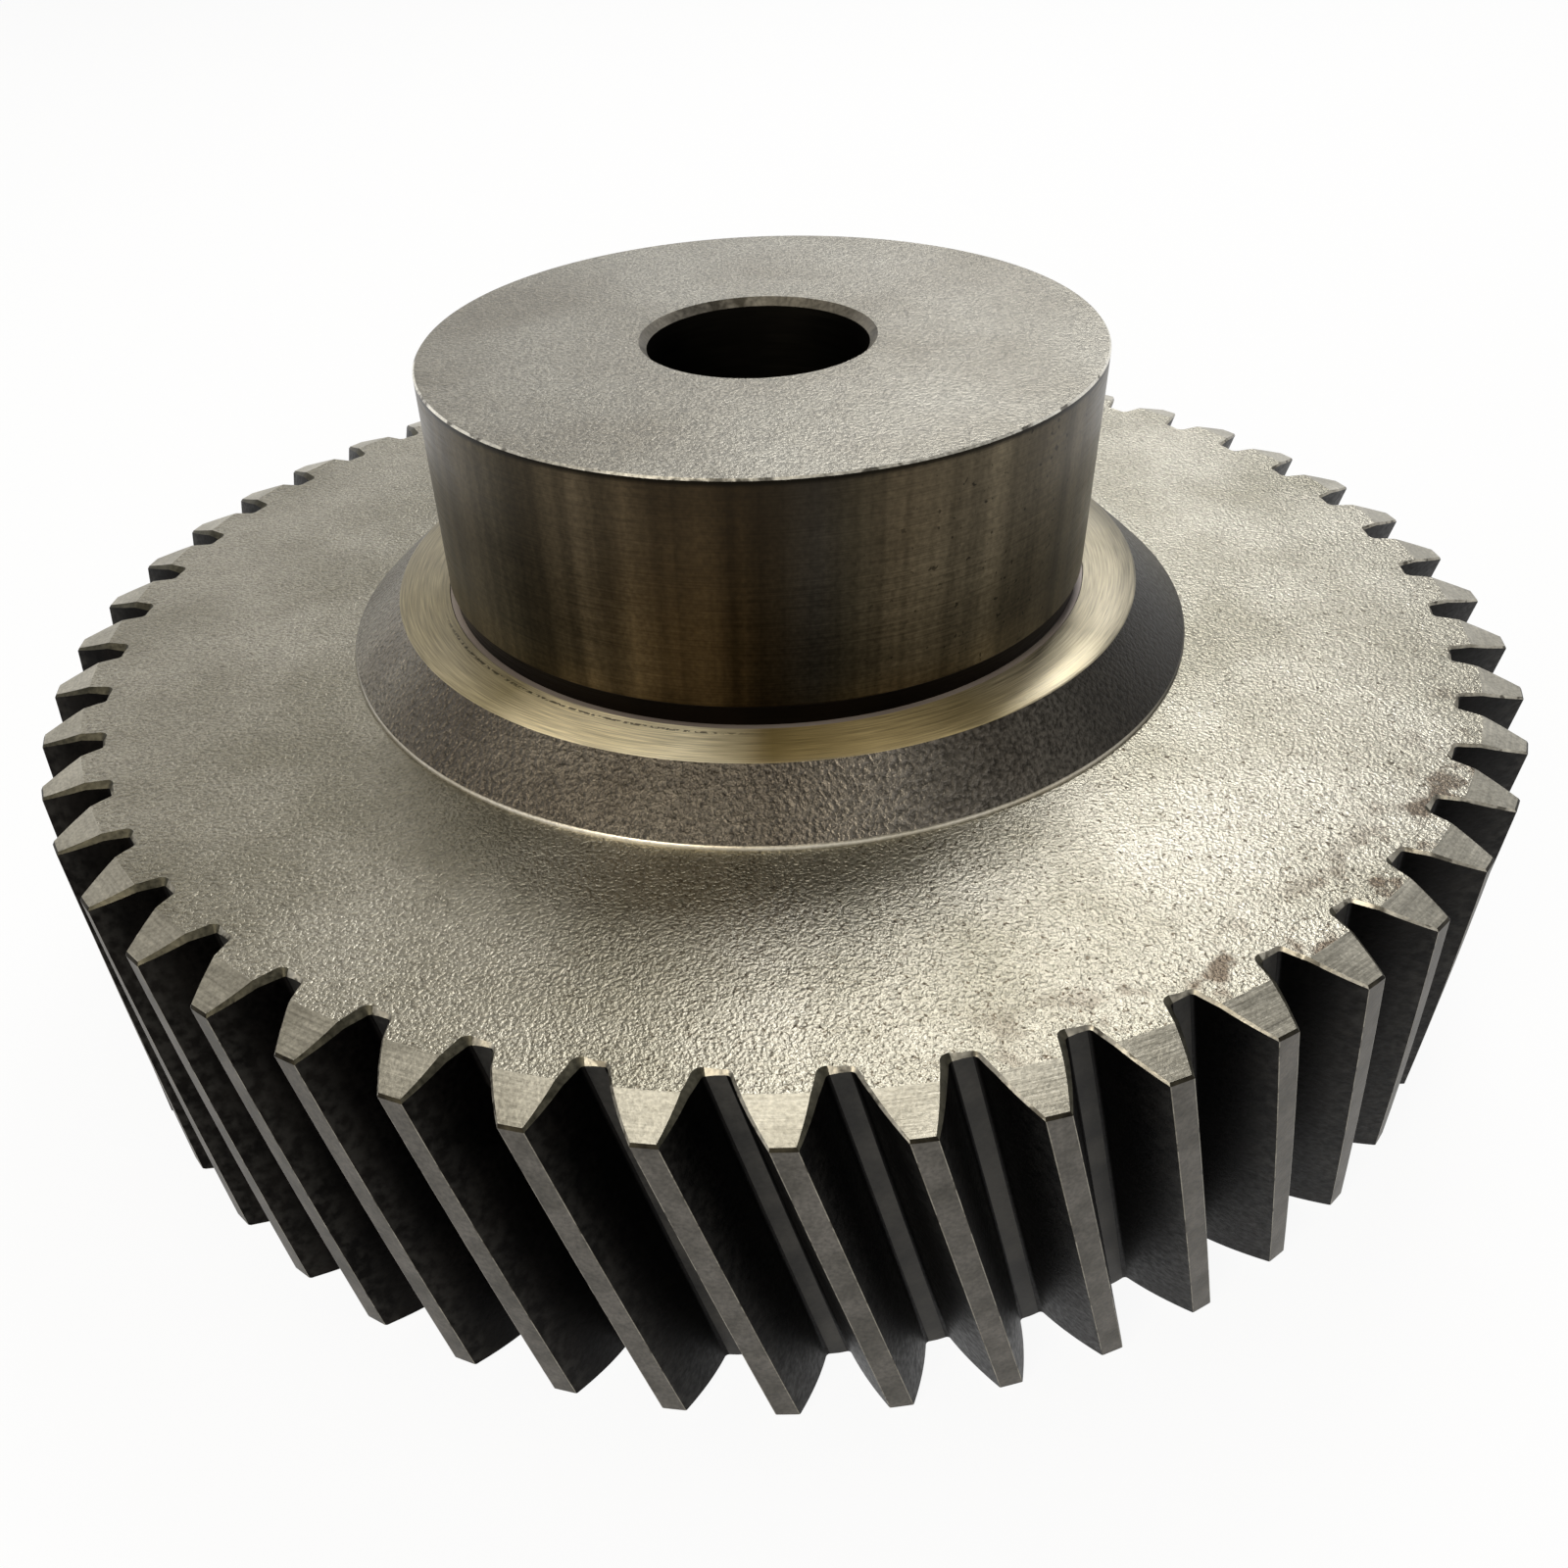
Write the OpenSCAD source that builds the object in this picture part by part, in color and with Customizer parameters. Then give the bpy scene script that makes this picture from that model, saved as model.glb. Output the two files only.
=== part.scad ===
// Helical gear wheel with a ground hub on one side, all in one piece of steel.
// The axis is Z and the plain side lies on the XY plane, with the hub standing up.
// Every part of the teeth is worked out from the module, the tooth count and the helix.

/* [Teeth] */
// Number of teeth
tooth_count = 49; // [44:1:54]
// Module in the plane square to a tooth
normal_module = 4; // [3.8:0.05:4.2]
// Pressure angle in the plane square to a tooth
pressure_angle = 22.5; // [18:0.5:25]
// Angle of the left-hand helix at the pitch circle
helix_angle = 15; // [8:1:20]
// Height of a tooth above the pitch circle, in modules
tip_height = 1; // [0.9:0.05:1.1]
// Depth of a gap below the pitch circle, in modules
root_depth = 1.15; // [1.05:0.05:1.35]
// Radius of the fillet between a flank and the root
root_fillet = 0.55; // [0.3:0.05:0.8]
// Width of the toothed rim along the axis
face_width = 52; // [36:1:64]

/* [Tooth ends] */
// Radial length of the cone turned on the hub side of the teeth
top_cone_length = 5.8; // [2:0.1:8]
// Angle between that cone and the side of the wheel
top_cone_angle = 15.5; // [6:0.5:25]
// Radial length of the cone turned on the plain side of the teeth
under_cone_length = 9.6; // [6:0.1:12]
// Angle between that cone and the plain side
under_cone_angle = 9.5; // [4:0.5:16]
// Chamfer between those cones and the tips of the teeth
tip_chamfer = 0.3; // [0.1:0.05:0.5]
// Widest bevel on the blunt edge of a tooth end
blunt_edge_bevel = 0.75; // [0.55:0.05:1]
// Widest bevel on the sharp edge of a tooth end
sharp_edge_bevel = 0.4; // [0.25:0.05:0.55]
// Bevel at the middle of the root
root_bevel = 0.45; // [0.25:0.05:0.7]
// Bevel at the tip of a tooth end
tip_bevel = 0.25; // [0.1:0.05:0.4]

/* [Hub] */
// Diameter of the ground journal
journal_diameter = 92; // [84:0.5:98]
// Height of the hub above the side of the wheel
hub_height = 39.4; // [30:0.2:60]
// Chamfer at the top of the journal
journal_chamfer = 0.25; // [0.1:0.05:1]
// Diameter of the bore
bore_diameter = 30; // [20:0.5:50]
// Chamfer at both mouths of the bore
bore_chamfer = 1; // [0.5:0.1:2]

/* [Shoulder] */
// Outer diameter of the flat machined shoulder round the hub
shoulder_diameter = 107.2; // [102:0.2:114]
// Height of the shoulder above the side of the wheel
shoulder_height = 7.35; // [4:0.05:12]
// Diameter of the forged cone where it meets the side of the wheel
foot_diameter = 123; // [118:0.5:140]
// Height of the small step at the foot of that cone
foot_step = 0.6; // [0.3:0.1:1.5]
// Length of the relief groove between the shoulder and the journal
groove_length = 2.9; // [2:0.1:4]
// Depth of that groove below the journal
groove_depth = 0.6; // [0.5:0.05:0.9]
// Width of the shallow relief in the face of the shoulder
face_relief_width = 1; // [0.7:0.05:1.5]
// Depth of the relief in the face of the shoulder
face_relief_depth = 0.1; // [0.05:0.05:0.3]

/* [Hidden] */
$fn = 180;

// Gear geometry in the transverse plane, square to the axis
transverse_module = normal_module / cos(helix_angle);
transverse_pressure_angle = atan(tan(pressure_angle) / cos(helix_angle));
pitch_r = tooth_count * transverse_module / 2;
base_r = pitch_r * cos(transverse_pressure_angle);
tip_r = pitch_r + tip_height * normal_module;
root_r = pitch_r - root_depth * normal_module;
turn_per_mm = -atan(tan(helix_angle) / pitch_r);

// Heights and radii of the turned faces
hub_top = face_width + hub_height;
shoulder_top = face_width + shoulder_height;
journal_r = journal_diameter / 2;
journal_start = shoulder_top + groove_length;
groove_r = journal_r - groove_depth;
face_relief_r = groove_r + face_relief_width;
bore_r = bore_diameter / 2;
top_cone_r = tip_r - top_cone_length;
under_cone_r = tip_r - under_cone_length;

// Points along one flank of a gap, and sections along the helix
fillet_steps = 3;
flank_steps = 4;
helix_steps = 3;
side_points = fillet_steps + flank_steps + 2;
loop_points = 2 * side_points;
// How far the last two rows of a cutter reach past the tips, and how far it reaches past the ends
tip_margin = 0.35;
overcut = 1.2;
end_overcut = 0.3;

// Involute function of a pressure angle, in degrees
function involute(angle) = tan(angle) * 180 / PI - angle;

// Pressure angle of the flank at radius r, where a flank below the base circle is radial
function flank_angle(r) = acos(min(1, base_r / r));

// Half the angle that the gap spans at radius r
function half_gap(r) =
    90 / tooth_count - involute(transverse_pressure_angle) + involute(flank_angle(r));

// Centre of the root fillet, which lies on an involute moved into the gap by the fillet radius
fillet_centre_r = root_r + root_fillet;
fillet_centre_turn = half_gap(fillet_centre_r) - root_fillet / base_r * 180 / PI;
fillet_sweep = 90 - flank_angle(fillet_centre_r);
flank_start = [fillet_centre_r - root_fillet * cos(fillet_sweep), root_fillet * sin(fillet_sweep)];
flank_start_r = norm(flank_start);

// Radius of flank point i, where the last two are past the tip
function flank_r(i) =
    i > fillet_steps + flank_steps
        ? tip_r + overcut
        : flank_start_r + (tip_r + tip_margin - flank_start_r) * (i - fillet_steps) / flank_steps;

// Point i of the positive side of a gap as [radius, angle from the middle of the gap, direction of
// the metal behind it], counted from the root to the tip, where the direction is taken from the radius
function gap_point(i) =
    i <= fillet_steps
        ? let (
              swing = fillet_sweep * i / fillet_steps,
              x = fillet_centre_r - root_fillet * cos(swing),
              y = root_fillet * sin(swing),
              turn = atan2(y, x)
          )
          [norm([x, y]), fillet_centre_turn + turn, 180 - swing - turn]
        : let (
              r = flank_r(i)
          )
          [r, half_gap(r), 90 + flank_angle(r)];

// Heights of the two ends of the teeth at radius r
function top_end(r) = face_width - max(0, r - top_cone_r) * tan(top_cone_angle);
function under_end(r) = max(0, r - under_cone_r) * tan(under_cone_angle);

// Bevel at point i of a side, which grows across the root from the sharp side to the blunt side and
// narrows from the start of each flank to the tip
function bevel_at(i, widest) =
    i < fillet_steps
        ? root_bevel + (widest - root_bevel) * gap_point(i)[1] / gap_point(fillet_steps)[1]
        : widest + (tip_bevel - widest) * min(1, (i - fillet_steps) / flank_steps);

// The blunt edge lies on opposite sides of a gap at the two ends of a helical tooth
function widest_bevel(side, top) = side * (top ? 1 : -1) < 0 ? blunt_edge_bevel : sharp_edge_bevel;

// Point of the cutter at height z, pushed into the metal by push
function cutter_point(point, side, z, push) =
    let (
        turn = side * point[1] + turn_per_mm * (z - face_width / 2),
        away = turn + side * point[2]
    )
    [point[0] * cos(turn) + push * cos(away), point[0] * sin(turn) + push * sin(away), z];

// Section s of the cutter at point i of a side: 0 and the last are past the ends, where it flares
// into the bevels, and the others follow the helix
function section_point(s, i, side) =
    let (
        point = gap_point(i),
        start = under_end(point[0]) - end_overcut,
        finish = top_end(point[0]) + end_overcut,
        under_push = end_overcut + bevel_at(i, widest_bevel(side, false)),
        top_push = end_overcut + bevel_at(i, widest_bevel(side, true)),
        low = start + under_push,
        high = finish - top_push
    )
    s == 0
        ? cutter_point(point, side, start, under_push)
        : s == helix_steps + 2
            ? cutter_point(point, side, finish, top_push)
            : cutter_point(point, side, low + (high - low) * (s - 1) / helix_steps, 0);

// Loop of section s: out along the negative side of the gap and back along the positive side
function section_loop(s) = [
    for (i = [0 : side_points - 1]) section_point(s, i, -1),
    for (i = [side_points - 1 : -1 : 0]) section_point(s, i, 1)
];

gap_points = [for (s = [0 : helix_steps + 2]) each section_loop(s)];
gap_sides = [
    for (s = [0 : helix_steps + 1], i = [0 : loop_points - 1])
        let (
            a = s * loop_points + i,
            b = s * loop_points + (i + 1) % loop_points,
            c = b + loop_points,
            d = a + loop_points
        )
        each [[a, d, c], [a, c, b]]
];
gap_ends = [
    for (i = [0 : side_points - 2])
        let (
            last = loop_points - 1,
            top = (helix_steps + 2) * loop_points
        )
        each [
            [i, i + 1, last - 1 - i],
            [i, last - 1 - i, last - i],
            [top + i, top + last - i, top + last - 1 - i],
            [top + i, top + last - 1 - i, top + i + 1]
        ]
];

// Cutter for one gap between two teeth
module tooth_gap() {
    polyhedron(points = gap_points, faces = concat(gap_sides, gap_ends), convexity = 6);
}

// Outline of the hub, from the foot of the forged cone in and up to the top of the journal
function hub_outline() = [
    [foot_diameter / 2, face_width],
    [foot_diameter / 2, face_width + foot_step],
    [shoulder_diameter / 2, shoulder_top],
    [face_relief_r, shoulder_top],
    [face_relief_r - face_relief_depth, shoulder_top - face_relief_depth],
    [groove_r, shoulder_top - face_relief_depth],
    [groove_r, journal_start - groove_depth],
    [journal_r, journal_start],
    [journal_r, hub_top - journal_chamfer],
    [journal_r - journal_chamfer, hub_top]
];

// Outline of the toothed rim, from the plain side out over the tips and back
function rim_outline() =
    let (edge_r = tip_r - tip_chamfer)
    [
        [under_cone_r, 0],
        [edge_r, under_end(edge_r)],
        [tip_r, under_end(tip_r) + tip_chamfer],
        [tip_r, top_end(tip_r) - tip_chamfer],
        [edge_r, top_end(edge_r)],
        [top_cone_r, face_width]
    ];

// Turned blank before the bore and the teeth are cut
module blank() {
    rotate_extrude()
        polygon(concat([[0, 0]], rim_outline(), hub_outline(), [[0, hub_top]]));
}

// Bore with a chamfer at both mouths
module bore() {
    mouth_r = bore_r + bore_chamfer;
    rotate_extrude()
        polygon([
            [0, -bore_chamfer],
            [mouth_r + bore_chamfer, -bore_chamfer],
            [bore_r, bore_chamfer],
            [bore_r, hub_top - bore_chamfer],
            [mouth_r + bore_chamfer, hub_top + bore_chamfer],
            [0, hub_top + bore_chamfer]
        ]);
}

module helical_gear() {
    color("#8b877b")
        difference() {
            blank();
            bore();
            for (tooth = [0 : tooth_count - 1])
                rotate(360 / tooth_count * (tooth + 0.5))
                    tooth_gap();
        }
}

helical_gear();
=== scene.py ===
"""Dresses a one-piece helical gear wheel with a ground hub and sets it on a pale floor.

All sizes are in millimetres until a mesh is written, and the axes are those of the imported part:
the axis of the gear is Z, the plain side lies at Z 0 and the hub stands up.
"""

import logging
import math
from collections.abc import Mapping, Sequence
from dataclasses import dataclass, field
from enum import Enum, IntEnum
from typing import ClassVar

import bpy
import numpy as np
from mathutils import Matrix, Vector


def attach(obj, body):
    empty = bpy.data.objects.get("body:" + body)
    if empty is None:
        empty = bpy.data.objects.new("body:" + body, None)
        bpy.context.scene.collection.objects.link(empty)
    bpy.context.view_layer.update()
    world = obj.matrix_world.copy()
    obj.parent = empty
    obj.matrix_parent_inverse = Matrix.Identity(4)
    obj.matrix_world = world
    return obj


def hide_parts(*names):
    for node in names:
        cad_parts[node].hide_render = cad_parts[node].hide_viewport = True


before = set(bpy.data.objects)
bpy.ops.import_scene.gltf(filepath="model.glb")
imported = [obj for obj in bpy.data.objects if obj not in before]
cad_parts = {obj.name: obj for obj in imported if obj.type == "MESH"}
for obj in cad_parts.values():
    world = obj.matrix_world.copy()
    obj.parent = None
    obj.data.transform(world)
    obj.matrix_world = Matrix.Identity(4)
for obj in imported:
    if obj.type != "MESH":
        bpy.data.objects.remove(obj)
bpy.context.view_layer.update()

MM = 0.001
LOG = logging.getLogger("gear")

# Most values of Blender's noise lie between these two, and the middle ones between the next two.
NOISE_SPAN = (0.3, 0.7)
PATCH_SPAN = (0.35, 0.65)

Socket = bpy.types.NodeSocket
Value = float | tuple[float, ...] | Socket


class Kind(str, Enum):
    """Kinds of shader node that the finishes and the floor are wired from."""

    PLACE = "ShaderNodeTexCoord"
    MATH = "ShaderNodeMath"
    VECTOR = "ShaderNodeVectorMath"
    SPLIT = "ShaderNodeSeparateXYZ"
    JOIN = "ShaderNodeCombineXYZ"
    NOISE = "ShaderNodeTexNoise"
    SPREAD = "ShaderNodeMapRange"
    RAMP = "ShaderNodeValToRGB"
    MIX = "ShaderNodeMix"
    BUMP = "ShaderNodeBump"
    TANGENT = "ShaderNodeTangent"
    SHADER = "ShaderNodeBsdfPrincipled"
    DIFFUSE = "ShaderNodeBsdfDiffuse"
    GLOW = "ShaderNodeEmission"
    BLEND = "ShaderNodeMixShader"
    RAY = "ShaderNodeLightPath"
    OUTPUT = "ShaderNodeOutputMaterial"


class Zone(IntEnum):
    """Zones of the gear's surface, numbered as its material slots."""

    WEB = 0
    FOOT = 1
    CONE = 2
    RING = 3
    RELIEF = 4
    GROOVE = 5
    JOURNAL = 6
    RIM = 7
    TOP = 8
    BORE = 9
    END_CONE = 10
    BLUNT_BEVEL = 11
    SHARP_BEVEL = 12
    TIP_CHAMFER = 13
    TIP = 14
    TIP_EDGE = 15
    FLANK = 16
    ROOT = 17
    MOUTH = 18


Zones = Zone | Sequence[Zone]


def linear(hex_colour: str) -> tuple[float, float, float, float]:
    """Turns an sRGB hex colour into the linear colour that a shader takes.

    Args:
        hex_colour: Six hex digits after a hash sign.

    Returns:
        Linear red, green, blue and an alpha of 1.
    """
    channels = [int(hex_colour[i : i + 2], 16) / 255 for i in (1, 3, 5)]
    red, green, blue = (
        c / 12.92 if c <= 0.04045 else ((c + 0.055) / 1.055) ** 2.4 for c in channels
    )
    return red, green, blue, 1.0


def wire(
    tree: bpy.types.NodeTree,
    kind: Kind,
    inputs: Mapping[str | int, Value] | None = None,
    output: str | int = 0,
    stops: Sequence[tuple[float, str]] = (),
    **settings: object,
) -> Socket:
    """Adds a node, sets it up, and fills or links its inputs.

    Args:
        tree: Node tree that gets the node.
        kind: Kind of node.
        inputs: Values or sockets by input name or number.
        output: Name or number of the output that is wanted.
        stops: Places and hex colours of a colour ramp.
        **settings: Properties of the node.

    Returns:
        The wanted output, or the first input of a node that has no output.
    """
    node = tree.nodes.new(kind.value)
    for name, value in settings.items():
        setattr(node, name, value)
    if stops:
        elements = node.color_ramp.elements
        while len(elements) < len(stops):
            elements.new(1.0)
        for element, (place, colour) in zip(elements, stops):
            element.position = place
            element.color = linear(colour)
    for key, value in (inputs or {}).items():
        socket = node.inputs[key]
        if isinstance(value, bpy.types.NodeSocket):
            tree.links.new(value, socket)
        else:
            socket.default_value = value
    return node.outputs[output] if len(node.outputs) else node.inputs[0]


@dataclass(frozen=True)
class GearSizes:
    """Sizes of the gear in millimetres and degrees, the same as in the part's source."""

    tooth_count: int = 49
    normal_module: float = 4.0
    pressure_angle: float = 22.5
    helix_angle: float = 15.0
    tip_height: float = 1.0
    root_depth: float = 1.15
    root_fillet: float = 0.55
    face_width: float = 52.0
    top_cone_length: float = 5.8
    top_cone_angle: float = 15.5
    under_cone_length: float = 9.6
    under_cone_angle: float = 9.5
    tip_chamfer: float = 0.3
    blunt_edge_bevel: float = 0.75
    sharp_edge_bevel: float = 0.4
    root_bevel: float = 0.45
    tip_bevel: float = 0.25
    journal_r: float = 46.0
    hub_height: float = 39.4
    journal_chamfer: float = 0.25
    bore_r: float = 15.0
    bore_chamfer: float = 1.0
    shoulder_r: float = 53.6
    shoulder_height: float = 7.35
    foot_r: float = 61.5
    foot_step: float = 0.6
    groove_length: float = 2.9
    groove_depth: float = 0.6
    face_relief_width: float = 1.0
    face_relief_depth: float = 0.1

    @property
    def transverse_module(self) -> float:
        """Module in the plane square to the axis."""
        return self.normal_module / math.cos(math.radians(self.helix_angle))

    @property
    def transverse_pressure(self) -> float:
        """Pressure angle in the plane square to the axis, in radians."""
        helix = math.radians(self.helix_angle)
        return math.atan(math.tan(math.radians(self.pressure_angle)) / math.cos(helix))

    @property
    def pitch_r(self) -> float:
        """Radius of the pitch circle."""
        return self.tooth_count * self.transverse_module / 2

    @property
    def base_r(self) -> float:
        """Radius of the base circle of the involutes."""
        return self.pitch_r * math.cos(self.transverse_pressure)

    @property
    def tip_r(self) -> float:
        """Radius of the tips of the teeth."""
        return self.pitch_r + self.tip_height * self.normal_module

    @property
    def root_r(self) -> float:
        """Radius of the root land."""
        return self.pitch_r - self.root_depth * self.normal_module

    @property
    def tip_edge_r(self) -> float:
        """Radius where the ends of the teeth meet the chamfers of the tips."""
        return self.tip_r - self.tip_chamfer

    @property
    def top_cone_r(self) -> float:
        """Radius where the turned cone starts on the hub side."""
        return self.tip_r - self.top_cone_length

    @property
    def under_cone_r(self) -> float:
        """Radius where the turned cone starts on the plain side."""
        return self.tip_r - self.under_cone_length

    @property
    def turn_per_mm(self) -> float:
        """Turn of the left-hand helix along the axis, in radians per millimetre."""
        return -math.tan(math.radians(self.helix_angle)) / self.pitch_r

    @property
    def pitch_angle(self) -> float:
        """Angle from one tooth to the next, in radians."""
        return 2 * math.pi / self.tooth_count

    @property
    def hub_top(self) -> float:
        """Height of the top of the hub."""
        return self.face_width + self.hub_height

    @property
    def shoulder_top(self) -> float:
        """Height of the flat shoulder ring."""
        return self.face_width + self.shoulder_height


@dataclass(frozen=True)
class GapPoint:
    """A point of a gap's outline: radius, angle from the middle and direction of the metal.

    Both angles are in radians and negative on the side at the lesser angle. The direction of the
    metal behind the surface is taken from the radius.
    """

    radius: float
    angle: float
    metal: float


@dataclass(frozen=True)
class ToothForm:
    """Involute sides of a gap with their root fillets, and the bevels on their ends."""

    sizes: GearSizes
    fillet_steps: int = 5
    edge_tries: int = 12

    @staticmethod
    def involute(angle: float) -> float:
        """Involute function of a pressure angle, in radians."""
        return math.tan(angle) - angle

    def flank_angle(self, radius: float) -> float:
        """Pressure angle of the flank at a radius, in radians."""
        return math.acos(min(1.0, self.sizes.base_r / radius))

    def half_gap(self, radius: float) -> float:
        """Half the angle that a gap spans at a radius, in radians."""
        at_pitch = self.involute(self.sizes.transverse_pressure)
        return self.sizes.pitch_angle / 4 - at_pitch + self.involute(self.flank_angle(radius))

    def on_flank(self, radius: float, side: int) -> GapPoint:
        """Point of a flank at a radius, where side is -1 or 1."""
        metal = math.pi / 2 + self.flank_angle(radius)
        return GapPoint(radius, side * self.half_gap(radius), side * metal)

    def on_fillet(self, share: float, side: int) -> GapPoint:
        """Finds a point of a root fillet.

        Args:
            share: 0 at the root land and 1 at the flank.
            side: -1 or 1, the side of the gap.

        Returns:
            The point, with the direction of the metal behind it.
        """
        fillet = self.sizes.root_fillet
        centre_r = self.sizes.root_r + fillet
        centre_turn = self.half_gap(centre_r) - fillet / self.sizes.base_r
        swing = (math.pi / 2 - self.flank_angle(centre_r)) * share
        x = centre_r - fillet * math.cos(swing)
        y = fillet * math.sin(swing)
        turn = math.atan2(y, x)
        angle = centre_turn + turn
        return GapPoint(math.hypot(x, y), side * angle, side * (math.pi - swing - turn))

    def on_land(self, share: float) -> GapPoint:
        """Point of the root land, from share -1 at one side to 1 at the other."""
        angle = self.on_fillet(0.0, 1).angle * share
        return GapPoint(self.sizes.root_r, angle, math.pi)

    def bevel(self, point: GapPoint, top: bool) -> float:
        """Width of the bevel where a point of the outline meets the end of the teeth.

        Args:
            point: Point of the outline.
            top: True at the end by the hub.

        Returns:
            Width of the bevel in millimetres.
        """
        sizes = self.sizes
        blunt = point.angle * (1 if top else -1) < 0
        widest = sizes.blunt_edge_bevel if blunt else sizes.sharp_edge_bevel
        start = self.on_fillet(1.0, 1)
        if point.radius < start.radius:
            share = abs(point.angle) / start.angle
            return sizes.root_bevel + (widest - sizes.root_bevel) * share
        share = min(1.0, (point.radius - start.radius) / (sizes.tip_r - start.radius))
        return widest + (sizes.tip_bevel - widest) * share

    def end_height(self, radius: float, top: bool) -> float:
        """Works out where the teeth end.

        Args:
            radius: Radius of the place.
            top: True at the end by the hub.

        Returns:
            Height of the turned end in millimetres.
        """
        sizes = self.sizes
        start, slope = sizes.under_cone_r, sizes.under_cone_angle
        if top:
            start, slope = sizes.top_cone_r, sizes.top_cone_angle
        rise = max(0.0, radius - start) * math.tan(math.radians(slope))
        return sizes.face_width - rise if top else rise

    def bevel_end(self, point: GapPoint, top: bool) -> float:
        """Height of the inner edge of the bevel beside a point of the outline."""
        drop = self.bevel(point, top)
        return self.end_height(point.radius, top) + (-drop if top else drop)

    def pushed(self, point: GapPoint, top: bool) -> tuple[float, float]:
        """Moves a point of the outline out by its bevel.

        Args:
            point: Point of the outline.
            top: True at the end by the hub.

        Returns:
            Radius and angle of the outer edge of the bevel.
        """
        push = self.bevel(point, top)
        x = point.radius * math.cos(point.angle) + push * math.cos(point.angle + point.metal)
        y = point.radius * math.sin(point.angle) + push * math.sin(point.angle + point.metal)
        return math.hypot(x, y), math.atan2(y, x)

    def under_edge(self, edge_r: float, side: int, top: bool) -> GapPoint:
        """Finds the point of a flank whose bevel has its outer edge at a radius.

        Args:
            edge_r: Radius of the outer edge of the bevel.
            side: -1 or 1, the side of the gap.
            top: True at the end by the hub.

        Returns:
            The point of the flank.
        """
        radius = edge_r
        for _ in range(self.edge_tries):
            radius += edge_r - self.pushed(self.on_flank(radius, side), top)[0]
        return self.on_flank(radius, side)


class MeshBook:
    """Collects points and zoned faces, and writes them as one closed mesh."""

    def __init__(self) -> None:
        """Starts with no points and no faces."""
        self.points: list[tuple[float, float, float]] = []
        self.faces: list[tuple[int, ...]] = []
        self.zones: list[int] = []

    def point(self, radius: float, angle: float, height: float) -> int:
        """Adds a point by radius, angle in radians and height, and returns its number."""
        self.points.append((radius * math.cos(angle), radius * math.sin(angle), height))
        return len(self.points) - 1

    def ring(self, radius: float, angles: Sequence[float], height: float) -> list[int]:
        """Adds a row of points at one radius and height."""
        return [self.point(radius, angle, height) for angle in angles]

    def face(self, corners: Sequence[int], zone: Zone) -> None:
        """Adds a face, unless fewer than three corners are left of it.

        Args:
            corners: Numbers of its points, where one that comes twice in a row is used once.
            zone: Zone that it belongs to.
        """
        kept = [c for i, c in enumerate(corners) if c != corners[i - 1]]
        if len(kept) > 2:
            self.faces.append(tuple(kept))
            self.zones.append(int(zone))

    def strip(self, lower: Sequence[int], upper: Sequence[int], zones: Zones) -> None:
        """Joins two open rows with faces that look away from the metal.

        Args:
            lower: First row on the way from the underside out, up and in again.
            upper: Second row, with as many points.
            zones: Zone of the whole strip, or one for each face, repeated as needed.
        """
        for i in range(len(lower) - 1):
            zone = zones if isinstance(zones, Zone) else zones[i % len(zones)]
            self.face((lower[i], lower[i + 1], upper[i + 1], upper[i]), zone)

    def belt(self, lower: Sequence[int], upper: Sequence[int], zones: Zones) -> None:
        """Joins two rows that close on themselves, as strip does."""
        self.strip([*lower, lower[0]], [*upper, upper[0]], zones)

    def write(self, name: str, materials: Sequence[bpy.types.Material]) -> bpy.types.Object:
        """Writes the mesh in metres, with smooth zones and sharp edges between them.

        Args:
            name: Name of the object.
            materials: One material for each zone, in order.

        Returns:
            The new object.
        """
        mesh = bpy.data.meshes.new(name)
        mesh.from_pydata([tuple(c * MM for c in p) for p in self.points], [], self.faces)
        for material in materials:
            mesh.materials.append(material)
        mesh.polygons.foreach_set("material_index", self.zones)
        mesh.polygons.foreach_set("use_smooth", [True] * len(self.faces))
        zone_of_edge: dict[tuple[int, int], int] = {}
        sharp = set()
        for polygon in mesh.polygons:
            for key in polygon.edge_keys:
                if zone_of_edge.setdefault(key, polygon.material_index) != polygon.material_index:
                    sharp.add(key)
        flags = mesh.attributes.new("sharp_edge", "BOOLEAN", "EDGE")
        flags.data.foreach_set("value", [edge.key in sharp for edge in mesh.edges])
        mesh.update()
        piece = bpy.data.objects.new(name, mesh)
        bpy.context.scene.collection.objects.link(piece)
        return piece


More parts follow.
